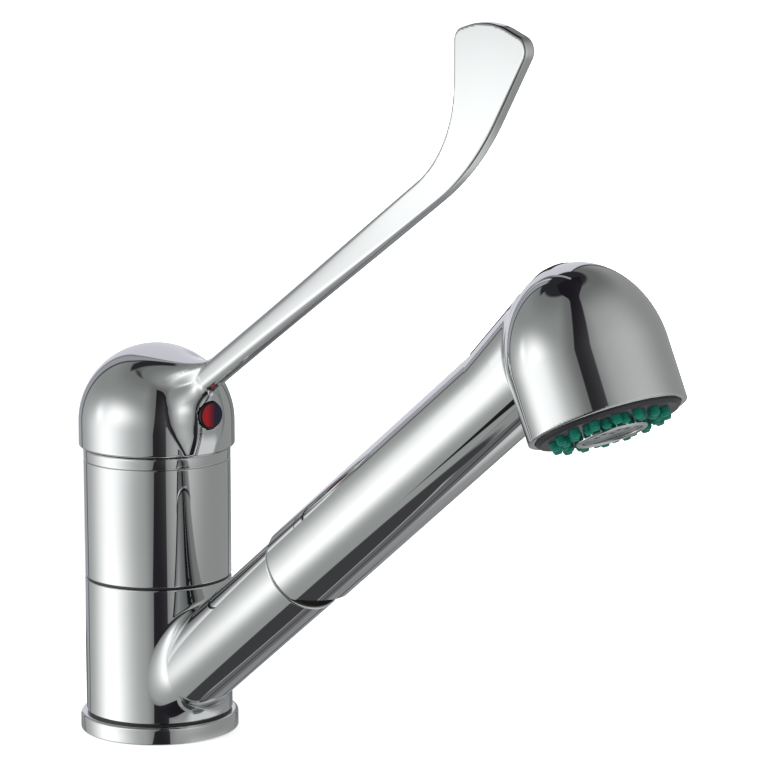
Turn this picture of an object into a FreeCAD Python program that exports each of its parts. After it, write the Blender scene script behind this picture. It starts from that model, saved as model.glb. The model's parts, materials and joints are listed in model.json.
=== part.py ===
import FreeCAD, Part
import os
from math import cos, pi, radians, sin, sqrt, tan

V = FreeCAD.Vector
UP = V(0, 0, 1)
SIDE = V(0, 1, 0)
FULL = 360.0

# A pull-out kitchen mixer. All sizes are in millimetres. The origin is the
# centre of the face that seats on the deck, +Z is up and +X is the way that
# the spout points at rest. Heights are built up from the deck.

# Clearances
fit = 0.05            # a round fit, on the radius
run = 0.10            # a flat running gap
free = 0.30           # between curved faces that must never touch
loose = 0.50          # round a piece that only passes through
over = 1.0            # how far a cut runs past a face
hair = 0.1            # tolerance when an edge is picked by its place

# Body and foot
body_d = 46.5
foot_margin = 1.85
foot_h = 5.3
foot_edge = 1.0
seal_proud = 0.3
seal_h = 1.3
seal_width = 3.5
seal_inset = 1.1
seam_edge = 0.35

# Brass column inside the sleeve
column_wall = 3.8
column_plate_h = 8.7
passage_d = 22.0
passage_x = 4.4
stud_hole_d = 5.0
stud_back = 10.6
stud_spacing = 13.2
window_half_angle = 75.0
window_low = 14.5
window_roof = 1.0
block_h = 8.0
inlet_hole_d = 9.0
inlet_hole_depth = 8.0
port_d = 5.4
port_margin = 4.45
port_angle = 47.12
outlet_margin = 6.0

# Rings between column and sleeve
slide_flange_h = 0.6
slide_flange_inset = 0.35
slide_collar_h = 4.0
slide_collar_wall = 1.4
o_ring_wire_d = 2.4
o_ring_groove_w = 2.7
o_ring_step = 1.7

# Swivelling sleeve and the socket arm
sleeve_h = 43.2
sleeve_wall = 2.85
sleeve_play = 0.6
spout_angle = 36.4
socket_rise = 2.93
socket_d = 26.1
socket_wall = 1.65
socket_end = 94.7
socket_edge = 0.5
socket_blend = 3.0

# Black liner that the handset docks in
bush_wall = 1.1
bush_len = 36.0
bush_flange = 1.0
bush_flange_inset = 0.4

# Upper housing and bonnet
housing_h = 37.2
housing_wall = 3.1
cup_wall = 2.55
cup_sunk = 2.3
bonnet_h = 3.8
bonnet_shoulder = 1.3
bonnet_lip_w = 4.15
bonnet_lip_h = 1.8

# Cartridge
seat_h = 2.9
cartridge_wall = 3.5
cartridge_floor = 3.0
cartridge_h = 27.3
cartridge_roof = 3.0
neck_wall = 1.25
neck_h = 3.0
port_seal_d = 8.4
port_seal_h = 1.2
port_seal_pocket = 1.0
fixed_disc_h = 4.0
moving_disc_d = 17.2
moving_disc_h = 3.5
mixing_pocket_d = 10.0
mixing_pocket_h = 2.0
carrier_h = 4.0
carrier_floor = 0.8
carrier_slot_x = 6.0
carrier_slot_y = 6.0
rotor_neck_d = 21.4
rotor_gap = 0.4
rotor_rise = 0.6
pivot_rise = 8.0
pivot_pin_d = 3.0
pivot_pin_len = 21.0
lift_angle = 25.0
stem_w = 8.0
stem_tail_w = 4.0
stem_shoulder_h = 2.0
stem_tip_gap = 0.8
stem_reach = 1.4
nut_h = 4.5
nut_play = 0.2
nut_notch_w = 4.0
nut_notch_h = 1.5

# Lever: cap, nose, arm and blade
cap_overhang = 1.4
cap_rise = 8.0
cap_gap = 0.25
cap_edge = 0.5
cap_wall = 2.25
cap_mouth_gap = 0.75
cap_mouth_h = 3.4
chin_proud = 0.05
chin_w = 13.0
hub_d = 15.0
nose_d = 14.0
nose_reach = 4.55
nose_rise = 5.6
nose_edge = 2.5
web_w = 9.0
web_rise = 0.6
screw_d = 5.0
screw_len = 7.0
screw_socket_d = 2.5
screw_socket_depth = 2.5
plug_d = 8.4
plug_depth = 2.6
plug_proud = 0.6
root_blend = 7.0
arm_angle = 32.1
arm_sunk = 0.55
arm_h = 9.0
arm_w = 7.4
arm_start = 2.0
blade_back_x = 146.0
blade_back_r = 34.0
blade_neck = 8.4
blade_front_angle = 56.5
blade_front_r = 80.0
blade_rise_h = 36.85
blade_crown_ahead = 14.2
blade_crown_r = 28.0
blade_up_angle = 15.0
blade_down_angle = 22.0
blade_back_corner = 4.0
blade_front_corner = 4.5
blade_w = 3.8
blade_round = 1.5
blade_thin_lead = 3.0
blade_thin_r = 120.0

# Handset, with lengths along it from the rear of the grip
dock_gap = 0.2
grip_d = 28.0
grip_end = 94.8
grip_end_d = 26.9
grip_edge = 1.0
grip_wall = 3.2
head_d = 44.0
head_wall = 1.9
head_straight = 17.4
head_dome = 27.0
head_cavity_h = 33.5
head_along = 142.18
head_below = 27.42
head_tilt = 26.8
grip_bore_end = 103.1
saddle_inset = 0.17
saddle_start = 109.1
saddle_end = 141.1
saddle_angle = 6.2
saddle_edge = 3.0

# Rocker on the handset
rocker_rear = 108.6
rocker_front = 152.6
rocker_w = 13.0
rocker_floor = 9.6
rocker_gap = 0.4
rocker_proud = 0.35
rocker_ball_r = 24.0
rocker_ball_along = 139.1
rocker_peak = 17.5
rocker_high = 20.0
rocker_pin_along = 128.1
rocker_pin_n = 11.4
rocker_pin_d = 2.0
rocker_pin_len = 15.4
rocker_angle = 6.0

# Waterway and valves of the handset
tail_d = 15.0
tail_reach = 20.0
tail_skirt_play = 0.25
tail_skirt_wall = 1.0
tail_skirt_reach = 9.0
tail_bore_d = 9.6
tail_plug_len = 14.0
valve_d = 9.0
valve_len = 9.0
valve_inset = 2.0
valve_bore_d = 5.5
pipe_d = 15.0
pipe_bore_d = 9.0
pipe_end = 138.1
tower_d = 19.0
tower_top = 32.0
plate_low = 5.0
plate_h = 2.5
spool_d = 5.0
spool_low = 17.0
spool_head_d = 8.0
spool_head_h = 2.0

# Spray face, nozzles and aerator
face_h = 4.0
face_proud = 1.2
face_edge = 0.8
nozzle_d = 2.7
nozzle_reach = 2.2
nozzle_tip_d = 1.9
nozzle_tip_h = 0.7
nozzle_count = 16
nozzle_inner_d = 26.0
nozzle_outer_d = 30.8
mat_h = 0.9
mat_margin = 0.7
aerator_d = 19.8
aerator_wall = 1.6
aerator_proud = 2.6
aerator_inside = 4.6
aerator_edge = 0.5
mesh_h = 2.4
mesh_sunk = 1.6
mesh_hole_w = 1.9
mesh_step = 3.0

# Radii and heights worked out from the sizes above
body_r = body_d / 2
foot_r = body_r + foot_margin
sleeve_bore_r = body_r - sleeve_wall
column_r = sleeve_bore_r - sleeve_play
column_bore_r = column_r - column_wall
cup_r = body_r - housing_wall - fit
cartridge_r = cup_r - cup_wall - fit
cartridge_bore_r = cartridge_r - cartridge_wall
rotor_neck_r = rotor_neck_d / 2
neck_r = rotor_neck_r + fit + neck_wall
nut_bore_r = neck_r + nut_play
bonnet_top_r = body_r - bonnet_shoulder
foot_low = seal_proud
foot_top = foot_low + foot_h
sleeve_low = foot_top + slide_flange_h
sleeve_top = sleeve_low + sleeve_h
housing_low = sleeve_top + slide_flange_h
housing_top = housing_low + housing_h
bonnet_top = housing_top + bonnet_h
block_low = housing_low - block_h
window_high = block_low - window_roof
cup_top = housing_top - cup_sunk
seat_z = housing_low + seat_h
slide_r = column_r + fit + slide_collar_wall
slide_flange_r = body_r - slide_flange_inset
o_ring_r = sleeve_bore_r - free - o_ring_wire_d / 2
lower_o_ring_z = sleeve_low + slide_collar_h + o_ring_step
upper_o_ring_z = sleeve_top - slide_collar_h - o_ring_step
socket_r = socket_d / 2
socket_bore_r = socket_r - socket_wall
bush_r = socket_bore_r - fit
bush_bore_r = bush_r - bush_wall
tail_skirt_r = bush_bore_r - tail_skirt_play
grip_start = socket_end + bush_flange + dock_gap
grip_bore_r = grip_d / 2 - grip_wall
face_low_z = seat_z + port_seal_h - port_seal_pocket
chamber_z = face_low_z + cartridge_floor
housing_roof_z = face_low_z + cartridge_h
moving_z = chamber_z + fixed_disc_h
carrier_z = moving_z + moving_disc_h
rotor_z = carrier_z + carrier_h + rotor_gap
rotor_top = housing_roof_z + neck_h + rotor_rise
pivot_z = rotor_z + pivot_rise
cap_r = body_r + cap_overhang
cap_low = bonnet_top + cap_gap
cap_centre_z = bonnet_top + cap_rise
cap_mouth_r = bonnet_top_r + cap_mouth_gap
nose_x = cap_r + nose_reach
nose_z = cap_centre_z + nose_rise
stem_low = carrier_z + carrier_floor + stem_tip_gap
stem_shoulder_z = rotor_z + stem_shoulder_h
stem_top = nose_z + stem_reach
blade_front_x = blade_back_x + blade_neck
blade_crown_x = blade_back_x + blade_crown_ahead
blade_thin_x = blade_back_x - blade_thin_lead
head_r = head_d / 2
grip_slope = (grip_end_d - grip_d) / grip_end / 2
saddle_r = grip_d / 2 + saddle_start * grip_slope - saddle_inset
spout_a = radians(spout_angle)
spout_height = (sleeve_low + run + socket_rise + socket_r * cos(spout_a)
                - (body_r - socket_r * sin(spout_a)) * tan(spout_a))
face_r = head_r - head_wall - fit
head_s = grip_start + head_along
head_x = head_s * cos(spout_a) + head_below * sin(spout_a)
head_z = spout_height + head_s * sin(spout_a) - head_below * cos(spout_a)
head_lean = spout_a - radians(head_tilt)
rocker_low_n = rocker_floor + rocker_gap
rocker_front_drop = (rocker_front + rocker_gap - rocker_pin_along) * tan(radians(rocker_angle))
spool_top = (rocker_low_n - free + head_below) / cos(head_lean) - spool_d / 2 * tan(head_lean)
port_r = cartridge_bore_r - port_margin
port_x = -port_r * cos(radians(port_angle))
port_y = port_r * sin(radians(port_angle))
ports = [(port_x, port_y), (port_x, -port_y), (cartridge_bore_r - outlet_margin, 0)]


def rod(r, low, high, x=0.0, y=0.0):
    """A cylinder that stands on the vertical."""
    return Part.makeCylinder(r, high - low, V(x, y, low), UP)


def ring(r_out, r_in, low, high):
    """A plain round wall."""
    return rod(r_out, low, high).cut(rod(r_in, low - over, high + over))


def block(x0, x1, y0, y1, z0, z1):
    """A box between two corners."""
    return Part.makeBox(x1 - x0, y1 - y0, z1 - z0, V(x0, y0, z0))


def line(a, b):
    return Part.LineSegment(a, b).toShape()


def arc(a, mid, b):
    return Part.Arc(a, mid, b).toShape()


def turned(edges):
    """A solid turned round the vertical from a closed profile in the XZ plane."""
    return Part.Face(Part.Wire(edges)).revolve(V(0, 0, 0), UP, FULL)


def on_spout(shape):
    """Moves a shape built on the vertical to the spout's axis."""
    placed = shape.copy()
    placed.rotate(V(0, 0, 0), SIDE, 90 - spout_angle)
    placed.translate(V(0, 0, spout_height))
    return placed


def on_face(shape):
    """Moves a shape built on the vertical to the axis of the spray face."""
    placed = shape.copy()
    placed.rotate(V(0, 0, 0), SIDE, -head_tilt)
    placed.translate(V(head_x, 0, head_z))
    return placed


def spout_point(s, n, y=0.0):
    """A point s along the spout's axis and n above it."""
    x = s * cos(spout_a) - n * sin(spout_a)
    return V(x, y, spout_height + s * sin(spout_a) + n * cos(spout_a))


def on_handset(shape):
    """Moves a shape built on the vertical to the grip's axis, from the grip's rear."""
    placed = shape.copy()
    placed.translate(V(0, 0, grip_start))
    return on_spout(placed)


def handset_point(along, n, y=0.0):
    """A point along the grip from its rear and n above its axis."""
    return spout_point(grip_start + along, n, y)


def handset_slab(corners, half):
    """A plate in the handset's plane, given by its corners and half its width."""
    points = [handset_point(along, n, -half) for along, n in corners]
    return Part.Face(Part.makePolygon(points + points[:1])).extrude(V(0, 2 * half, 0))


def edges_where(shape, test):
    """The edges whose middle point passes a test."""
    found = []
    for edge in shape.Edges:
        middle = edge.valueAt((edge.FirstParameter + edge.LastParameter) / 2)
        if test(middle, edge):
            found.append(edge)
    return found


def base_ring():
    shape = ring(foot_r, column_r + fit, foot_low, foot_top)
    shape = shape.makeFillet(foot_edge, edges_where(
        shape, lambda p, e: abs(p.z - foot_top) < hair and e.Length > 2 * pi * (foot_r - over)))
    groove_out = foot_r - seal_inset
    return shape.cut(ring(groove_out + fit, groove_out - seal_width - fit, foot_low, seal_h + fit))


def base_seal():
    outer = foot_r - seal_inset
    return ring(outer, outer - seal_width, 0, seal_h)


def column_window():
    """The sector that the hose sweeps through when the spout turns."""
    high = window_high - window_low
    sector = Part.makeCylinder(column_r + over, high, V(0, 0, window_low), UP, 2 * window_half_angle)
    sector.rotate(V(0, 0, 0), UP, -window_half_angle)
    return sector


def core_column():
    shape = rod(column_r, foot_low, housing_low)
    shape = shape.fuse(rod(cup_r, housing_low, cup_top))
    shape = shape.cut(rod(column_bore_r, foot_low + column_plate_h, block_low))
    shape = shape.cut(rod(passage_d / 2, 0, foot_low + column_plate_h + over, passage_x))
    shape = shape.cut(column_window())
    for side in (-1, 1):
        shape = shape.cut(rod(stud_hole_d / 2, 0, foot_low + column_plate_h + over,
                              -stud_back, side * stud_spacing / 2))
    for z in (lower_o_ring_z, upper_o_ring_z):
        half = o_ring_groove_w / 2
        shape = shape.cut(ring(column_r + over, o_ring_r - o_ring_wire_d / 2 - fit, z - half, z + half))
    shape = shape.cut(rod(cartridge_r + fit, seat_z, cup_top + over))
    for x, y in ports:
        shape = shape.cut(rod(inlet_hole_d / 2, block_low - over, block_low + inlet_hole_depth, x, y))
        shape = shape.cut(rod(port_d / 2, block_low, seat_z + over, x, y))
    return shape.removeSplitter()


def slide_ring(seam_z, way):
    """An L-shaped plastic ring: its flange shows as a thin dark seam."""
    inner = column_r + fit
    flange = ring(slide_flange_r, inner, seam_z, seam_z + slide_flange_h)
    if way > 0:
        collar = ring(slide_r, inner, seam_z, seam_z + slide_flange_h + slide_collar_h)
    else:
        collar = ring(slide_r, inner, seam_z - slide_collar_h, seam_z + slide_flange_h)
    return flange.fuse(collar).removeSplitter()


def o_ring(z):
    return Part.makeTorus(o_ring_r, o_ring_wire_d / 2, V(0, 0, z), UP)


def spout_body():
    low = sleeve_low + run
    high = sleeve_top - run
    sleeve = rod(body_r, low, high)
    arm = on_spout(rod(socket_r, 0, socket_end))
    arm = arm.cut(rod(body_r + over, low - body_d, low))
    arm = arm.cut(block(-body_d, 0, -body_d, body_d, -body_d, body_d))
    shape = sleeve.fuse(arm)
    joint = edges_where(shape, lambda p, e: abs(sqrt(p.x ** 2 + p.y ** 2) - body_r) < hair
                        and low + over < p.z < high - over and p.x > over and e.Length > body_r)
    shape = shape.makeFillet(socket_blend, joint)
    rims = edges_where(shape, lambda p, e: e.Length > 2 * pi * (socket_r - over)
                       and p.z > high and e.Length < 2 * pi * (socket_r + over))
    shape = shape.makeFillet(socket_edge, rims)
    rims = edges_where(shape, lambda p, e: abs(e.Length - 2 * pi * body_r) < over)
    shape = shape.makeChamfer(seam_edge, rims)
    shape = shape.cut(rod(sleeve_bore_r, low - over, high + over))
    shape = shape.cut(rod(slide_r + run, low - over, sleeve_low + slide_collar_h + run))
    shape = shape.cut(rod(slide_r + run, sleeve_top - slide_collar_h - run, high + over))
    return shape.cut(on_spout(rod(socket_bore_r, column_r, socket_end + over)))


def guide_bush():
    tube = ring(bush_r, bush_bore_r, socket_end - bush_len, socket_end)
    flange_r = socket_r - bush_flange_inset
    flange = ring(flange_r, bush_bore_r, socket_end, socket_end + bush_flange)
    return on_spout(tube.fuse(flange).removeSplitter())


def upper_body():
    shape = ring(body_r, cup_r + fit, housing_low, housing_top)
    rims = edges_where(shape, lambda p, e: abs(e.Length - 2 * pi * body_r) < over)
    return shape.makeChamfer(seam_edge, rims)


def bonnet_ring():
    thread_r = cup_r + fit
    lip_r = thread_r - bonnet_lip_w
    lip_low = bonnet_top - bonnet_lip_h
    start = V(body_r, 0, bonnet_top - bonnet_shoulder)
    rim = V(bonnet_top_r, 0, bonnet_top)
    turn = bonnet_shoulder * (1 - sqrt(0.5))
    bulge = V(body_r - turn, 0, bonnet_top - turn)
    corners = [
        V(thread_r, 0, housing_top), V(body_r - seam_edge, 0, housing_top),
        V(body_r, 0, housing_top + seam_edge), start,
    ]
    inner = [rim, V(lip_r, 0, bonnet_top), V(lip_r, 0, lip_low), V(thread_r, 0, lip_low), corners[0]]
    edges = [line(a, b) for a, b in zip(corners, corners[1:])]
    edges.append(arc(start, bulge, rim))
    return turned(edges + [line(a, b) for a, b in zip(inner, inner[1:])])


def cartridge_nut():
    shape = ring(cartridge_r, nut_bore_r, housing_roof_z, housing_roof_z + nut_h)
    high = housing_roof_z + nut_h
    for turn in range(4):
        notch = block(nut_bore_r - over, nut_bore_r + nut_notch_h, -nut_notch_w / 2,
                      nut_notch_w / 2, high - nut_notch_w, high + over)
        notch.rotate(V(0, 0, 0), UP, turn * FULL / 4)
        shape = shape.cut(notch)
    return shape


def cartridge_housing():
    shape = rod(cartridge_r, face_low_z, housing_roof_z)
    shape = shape.fuse(rod(neck_r, housing_roof_z, housing_roof_z + neck_h))
    shape = shape.cut(rod(cartridge_bore_r, chamber_z, housing_roof_z - cartridge_roof))
    shape = shape.cut(rod(rotor_neck_r + fit, chamber_z, housing_roof_z + neck_h + over))
    for x, y in ports:
        shape = shape.cut(rod(port_d / 2, face_low_z - over, chamber_z + over, x, y))
        shape = shape.cut(rod(port_seal_d / 2 + fit, face_low_z - over, face_low_z + port_seal_pocket, x, y))
    return shape.removeSplitter()


def cartridge_seals():
    rings = []
    for x, y in ports:
        seal = ring(port_seal_d / 2, port_d / 2, seat_z, seat_z + port_seal_h)
        seal.translate(V(x, y, 0))
        rings.append(seal)
    return Part.makeCompound(rings)


def fixed_disc():
    shape = rod(cartridge_bore_r - fit, chamber_z, moving_z)
    for x, y in ports:
        shape = shape.cut(rod(port_d / 2, chamber_z - over, moving_z + over, x, y))
    return shape


def moving_disc():
    shape = rod(moving_disc_d / 2, moving_z, carrier_z)
    return shape.cut(rod(mixing_pocket_d / 2, moving_z - over, moving_z + mixing_pocket_h))


def disc_carrier():
    shape = rod(moving_disc_d / 2, carrier_z, carrier_z + carrier_h)
    half_x = carrier_slot_x / 2
    half_y = carrier_slot_y / 2
    return shape.cut(block(-half_x, half_x, -half_y, half_y, carrier_z + carrier_floor,
                           carrier_z + carrier_h + over))


def cartridge_rotor():
    roof = housing_roof_z - cartridge_roof - run
    shape = rod(cartridge_bore_r - fit, rotor_z, roof)
    shape = shape.fuse(rod(rotor_neck_r, roof, rotor_top))
    half = stem_w / 2
    reach = tan(radians(lift_angle))
    leaning = half / cos(radians(lift_angle))
    back = leaning + (rotor_top - pivot_z) * reach + loose
    front = leaning + (pivot_z - rotor_z) * reach + loose
    near = leaning + fit
    gap = half + run + fit
    shape = shape.cut(block(-back, near, -gap, gap, pivot_z, rotor_top + over))
    shape = shape.cut(block(-near, front, -gap, gap, rotor_z - over, pivot_z))
    return shape.cut(cross_rod(pivot_pin_d / 2 + fit, pivot_pin_len + 2 * fit, pivot_z)).removeSplitter()


def cross_rod(r, length, z, x=0.0):
    """A cylinder across the part, centred on its middle plane."""
    return Part.makeCylinder(r, length, V(x, -length / 2, z), SIDE)


def lever_pin():
    return cross_rod(pivot_pin_d / 2, pivot_pin_len, pivot_z)


def cartridge_stem():
    half = stem_w / 2
    tail = stem_tail_w / 2
    shape = block(-half, half, -half, half, stem_shoulder_z, stem_top)
    shape = shape.fuse(block(-tail, tail, -tail, tail, stem_low, stem_shoulder_z))
    return shape.cut(cross_rod(pivot_pin_d / 2 + fit, stem_w + 2 * over, pivot_z)).removeSplitter()


def corner_arc(corner, before, after, radius):
    """The arc that rounds a corner between two points of an outline, with its two ends."""
    back = (before - corner).normalize()
    ahead = (after - corner).normalize()
    half_turn = (pi - back.getAngle(ahead)) / 2
    reach = radius * tan(half_turn)
    start = corner + back * reach
    end = corner + ahead * reach
    bisector = (back + ahead).normalize()
    middle = corner + bisector * (radius / cos(half_turn) - radius)
    return start, middle, end


def rounded_outline(corners):
    """A closed wire through corners, each given with the radius that rounds it."""
    count = len(corners)
    arcs = []
    for i, (point, radius) in enumerate(corners):
        before = corners[i - 1][0]
        after = corners[(i + 1) % count][0]
        arcs.append(corner_arc(point, before, after, radius) if radius else (point, None, point))
    edges = []
    for i, (start, middle, end) in enumerate(arcs):
        if middle:
            edges.append(arc(start, middle, end))
        follow = arcs[(i + 1) % count][0]
        edges.append(line(end, follow))
    return Part.Wire(edges)


def lever_side_outline():
    """The arm and the blade seen from the side, with the arm's root inside the cap."""
    rise = tan(radians(arm_angle))
    high = cap_centre_z + (arm_h / 2 - arm_sunk) / cos(radians(arm_angle))
    low = cap_centre_z - (arm_h / 2 + arm_sunk) / cos(radians(arm_angle))
    y = -arm_w
    back_z = high + blade_back_x * rise
    front_z = low + blade_front_x * rise
    steep = tan(radians(blade_front_angle))
    up = tan(radians(blade_up_angle))
    down = tan(radians(blade_down_angle))
    crown_z = back_z + blade_rise_h
    back_top_z = crown_z - (blade_crown_x - blade_back_x) * up
    top_x = (crown_z + blade_crown_x * down - front_z + blade_front_x * steep) / (steep + down)
    top_z = crown_z - (top_x - blade_crown_x) * down
    return rounded_outline([
        (V(arm_start, y, high + arm_start * rise), 0),
        (V(arm_start, y, low + arm_start * rise), 0),
        (V(blade_front_x, y, front_z), blade_front_r),
        (V(top_x, y, top_z), blade_front_corner),
        (V(blade_crown_x, y, crown_z), blade_crown_r),
        (V(blade_back_x, y, back_top_z), blade_back_corner),
        (V(blade_back_x, y, back_z), blade_back_r),
    ])


def lever_plan_outline():
    """The arm and the blade seen from above, thinner towards the blade's end."""
    thick = arm_w / 2
    thin = blade_w / 2
    end = blade_front_x + blade_rise_h
    start = cap_r
    low = 0
    return rounded_outline([
        (V(0, thick, low), 0),
        (V(0, -thick, low), 0),
        (V(start, -thick, low), blade_thin_r),
        (V(blade_thin_x, -thin, low), blade_thin_r),
        (V(end, -thin, low), 0),
        (V(end, thin, low), 0),
        (V(blade_thin_x, thin, low), blade_thin_r),
        (V(start, thick, low), blade_thin_r),
    ])


def lever_arm():
    side = Part.Face(lever_side_outline()).extrude(V(0, 2 * arm_w, 0))
    plan = Part.Face(lever_plan_outline()).extrude(V(0, 0, 2 * (blade_front_x + blade_rise_h)))
    shape = side.common(plan)
    long_edges = edges_where(shape, lambda p, e: abs(p.y) > blade_w / 4 and p.x > arm_start + hair)
    return shape.makeFillet(blade_round, long_edges)


def on_ball(point):
    """Whether a point lies on the cap's sphere."""
    return abs(point.distanceToPoint(V(0, 0, cap_centre_z)) - cap_r) < hair


def lever_outside():
    """The cap with its arm, its nose and the chin under the nose."""
    dome = Part.makeSphere(cap_r, V(0, 0, cap_centre_z))
    dome = dome.cut(block(-body_d, body_d, -body_d, body_d, 0, cap_low))
    dome = dome.makeFillet(cap_edge, edges_where(dome, lambda p, e: abs(p.z - cap_low) < hair))
    with_arm = dome.fuse(lever_arm())
    with_arm = with_arm.makeFillet(root_blend, edges_where(
        with_arm, lambda p, e: on_ball(p) and p.x > cap_r / 2 and p.z > cap_centre_z))
    nose = Part.makeCylinder(nose_d / 2, nose_x, V(0, 0, nose_z), V(1, 0, 0))
    nose = nose.makeFillet(nose_edge, edges_where(nose, lambda p, e: p.x > nose_x - hair))
    chin = rod(cap_r + chin_proud, cap_low, nose_z)
    chin = chin.common(block(0, nose_x, -chin_w / 2, chin_w / 2, cap_low, nose_z))
    return with_arm.fuse(nose).fuse(chin).removeSplitter()


def lever():
    cavity = Part.makeSphere(cap_r - cap_wall, V(0, 0, cap_centre_z))
    cavity = cavity.fuse(rod(cap_mouth_r, cap_low - over, cap_low + cap_mouth_h))
    cavity = cavity.cut(rod(hub_d / 2, cap_centre_z, cap_centre_z + cap_r))
    web_low = cap_centre_z + web_rise
    cavity = cavity.cut(block(0, cap_r, -web_w / 2, web_w / 2, web_low, cap_centre_z + cap_r))
    below = cap_centre_z - cap_r
    cavity = cavity.cut(block(-body_d, body_d, -body_d, body_d, below - over, cap_low - over))
    shape = lever_outside().cut(cavity)
    half = stem_w / 2 + fit
    shape = shape.cut(block(-half, half, -half, half, cap_centre_z - over, stem_top + fit))
    shape = shape.cut(Part.makeCylinder(screw_d / 2 + fit, nose_x, V(0, 0, nose_z), V(1, 0, 0)))
    plug_back = nose_x - plug_depth + plug_proud
    return shape.cut(Part.makeCylinder(plug_d / 2 + fit, nose_x, V(plug_back, 0, nose_z), V(1, 0, 0)))


def grub_screw():
    start = stem_w / 2
    shape = Part.makeCylinder(screw_d / 2, screw_len, V(start, 0, nose_z), V(1, 0, 0))
    socket_x = start + screw_len - screw_socket_depth
    return shape.cut(Part.makeCylinder(screw_socket_d / 2, screw_len, V(socket_x, 0, nose_z), V(1, 0, 0)))


def indicator_plug():
    back = nose_x - plug_depth + plug_proud
    shape = Part.makeCylinder(plug_d / 2, plug_depth, V(back, 0, nose_z), V(1, 0, 0))
    front = edges_where(shape, lambda p, e: p.x > back + plug_depth - hair)
    return shape.makeFillet(plug_proud - fit, front)


def dome_solid(inset):
    """The head's outer form, or its cavity when taken in by a wall."""
    r = head_r - inset
    high = head_dome - inset
    ball = Part.makeSphere(r)
    stretch = FreeCAD.Matrix()
    stretch.scale(1, 1, high / r)
    dome = ball.transformGeometry(stretch)
    dome.translate(V(0, 0, head_straight))
    dome = dome.cut(rod(head_d, head_straight - head_dome - over, head_straight))
    return dome.fuse(rod(r, 0, head_straight)).removeSplitter()


def grip_solid():
    """The tapered grip, carried on into the head."""
    end = pipe_end + grip_d / 4
    cone = Part.makeCone(grip_d / 2, grip_d / 2 + end * grip_slope, end)
    rear = edges_where(cone, lambda p, e: p.z < hair)
    return on_handset(cone.makeFillet(grip_edge, rear))


def saddle_bar(r, end):
    """A round bar that leaves the grip's axis upwards and carries the rocker."""
    start = handset_point(saddle_start, 0)
    finish = handset_point(end, (end - saddle_start) * tan(radians(saddle_angle)))
    return Part.makeCylinder(r, (finish - start).Length, start, finish - start)


def saddle():
    """The ramp from the top of the grip to the top of the head."""
    shape = saddle_bar(saddle_r, saddle_end)
    far = edges_where(shape, lambda p, e: (p - handset_point(saddle_end, 0)).Length < head_r
                      and e.Length > pi * saddle_r)
    return shape.makeFillet(saddle_edge, far[-1:])


def rocker_block(grow, drop, high):
    """The block that the rocker or its pocket is cut from."""
    low = rocker_low_n - grow
    return handset_slab([
        (rocker_rear - grow, low), (rocker_pin_along, low), (rocker_front + grow, low - drop),
        (rocker_front + grow, high), (rocker_rear - grow, high),
    ], rocker_w / 2 + grow)


def handset_shell():
    outer = grip_solid().fuse(on_face(dome_solid(0))).fuse(saddle()).removeSplitter()
    cavity = on_face(dome_solid(head_wall).cut(rod(head_d, head_cavity_h, 2 * head_d)))
    shape = outer.cut(cavity).cut(on_face(rod(head_r - head_wall, -over, head_straight)))
    shape = shape.cut(on_face(rod(head_d, -head_d, 0)))
    shape = shape.cut(on_handset(rod(grip_bore_r, -over, grip_bore_end)))
    shape = shape.cut(on_handset(rod(pipe_d / 2 + fit, grip_bore_end - over, pipe_end)))
    shape = shape.cut(rocker_block(rocker_gap, rocker_front_drop, head_d))
    shape = shape.cut(on_face(rod(spool_d / 2 + fit, head_cavity_h - over, spool_top + over)))
    return shape.cut(rocker_axis(rocker_pin_d / 2 + fit, rocker_pin_len + 2 * fit))


def rocker_axis(r, length):
    """A cylinder on the rocker's pivot."""
    centre = handset_point(rocker_pin_along, rocker_pin_n, -length / 2)
    return Part.makeCylinder(r, length, centre, SIDE)


def mode_rocker():
    """A button with a round back: low behind the pin, with a raised front."""
    ball = Part.makeSphere(rocker_ball_r, handset_point(rocker_ball_along, rocker_peak - rocker_ball_r))
    form = saddle_bar(saddle_r + rocker_proud, rocker_front).fuse(ball)
    shape = rocker_block(0, 0, rocker_high).common(form)
    return shape.cut(rocker_axis(rocker_pin_d / 2 + fit, rocker_w + 2 * over))


def rocker_pin():
    return rocker_axis(rocker_pin_d / 2, rocker_pin_len)


def tail_connector():
    shape = rod(tail_d / 2, -tail_reach, 0)
    shape = shape.fuse(rod(grip_bore_r - fit, 0, tail_plug_len))
    shape = shape.fuse(ring(tail_skirt_r, tail_skirt_r - tail_skirt_wall, -tail_skirt_reach, 0))
    shape = shape.cut(rod(tail_bore_d / 2, -tail_reach - over, tail_plug_len + over))
    return on_handset(shape.removeSplitter())


def check_valve():
    low = valve_inset - tail_reach
    return on_handset(ring(valve_d / 2, valve_bore_d / 2, low, low + valve_len))


def waterway():
    """The plastic pipe in the grip, the valve tower and the plate over the spray face."""
    pipe = on_handset(rod(pipe_d / 2, tail_plug_len, pipe_end))
    tower = on_face(rod(tower_d / 2, plate_low, tower_top))
    plate = on_face(rod(face_r, plate_low, plate_low + plate_h))
    shape = pipe.fuse(tower).fuse(plate)
    shape = shape.cut(on_handset(rod(pipe_bore_d / 2, 0, pipe_end)))
    shape = shape.cut(on_face(rod(spool_d / 2 + fit, spool_low, tower_top + over)))
    shape = shape.cut(on_face(rod(spool_head_d / 2 + fit, 0, spool_low + 2 * spool_head_h)))
    return shape.removeSplitter()


def diverter_spool():
    shape = rod(spool_d / 2, spool_low, spool_top)
    shape = shape.fuse(rod(spool_head_d / 2, spool_low, spool_low + spool_head_h))
    return on_face(shape.removeSplitter())


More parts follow.
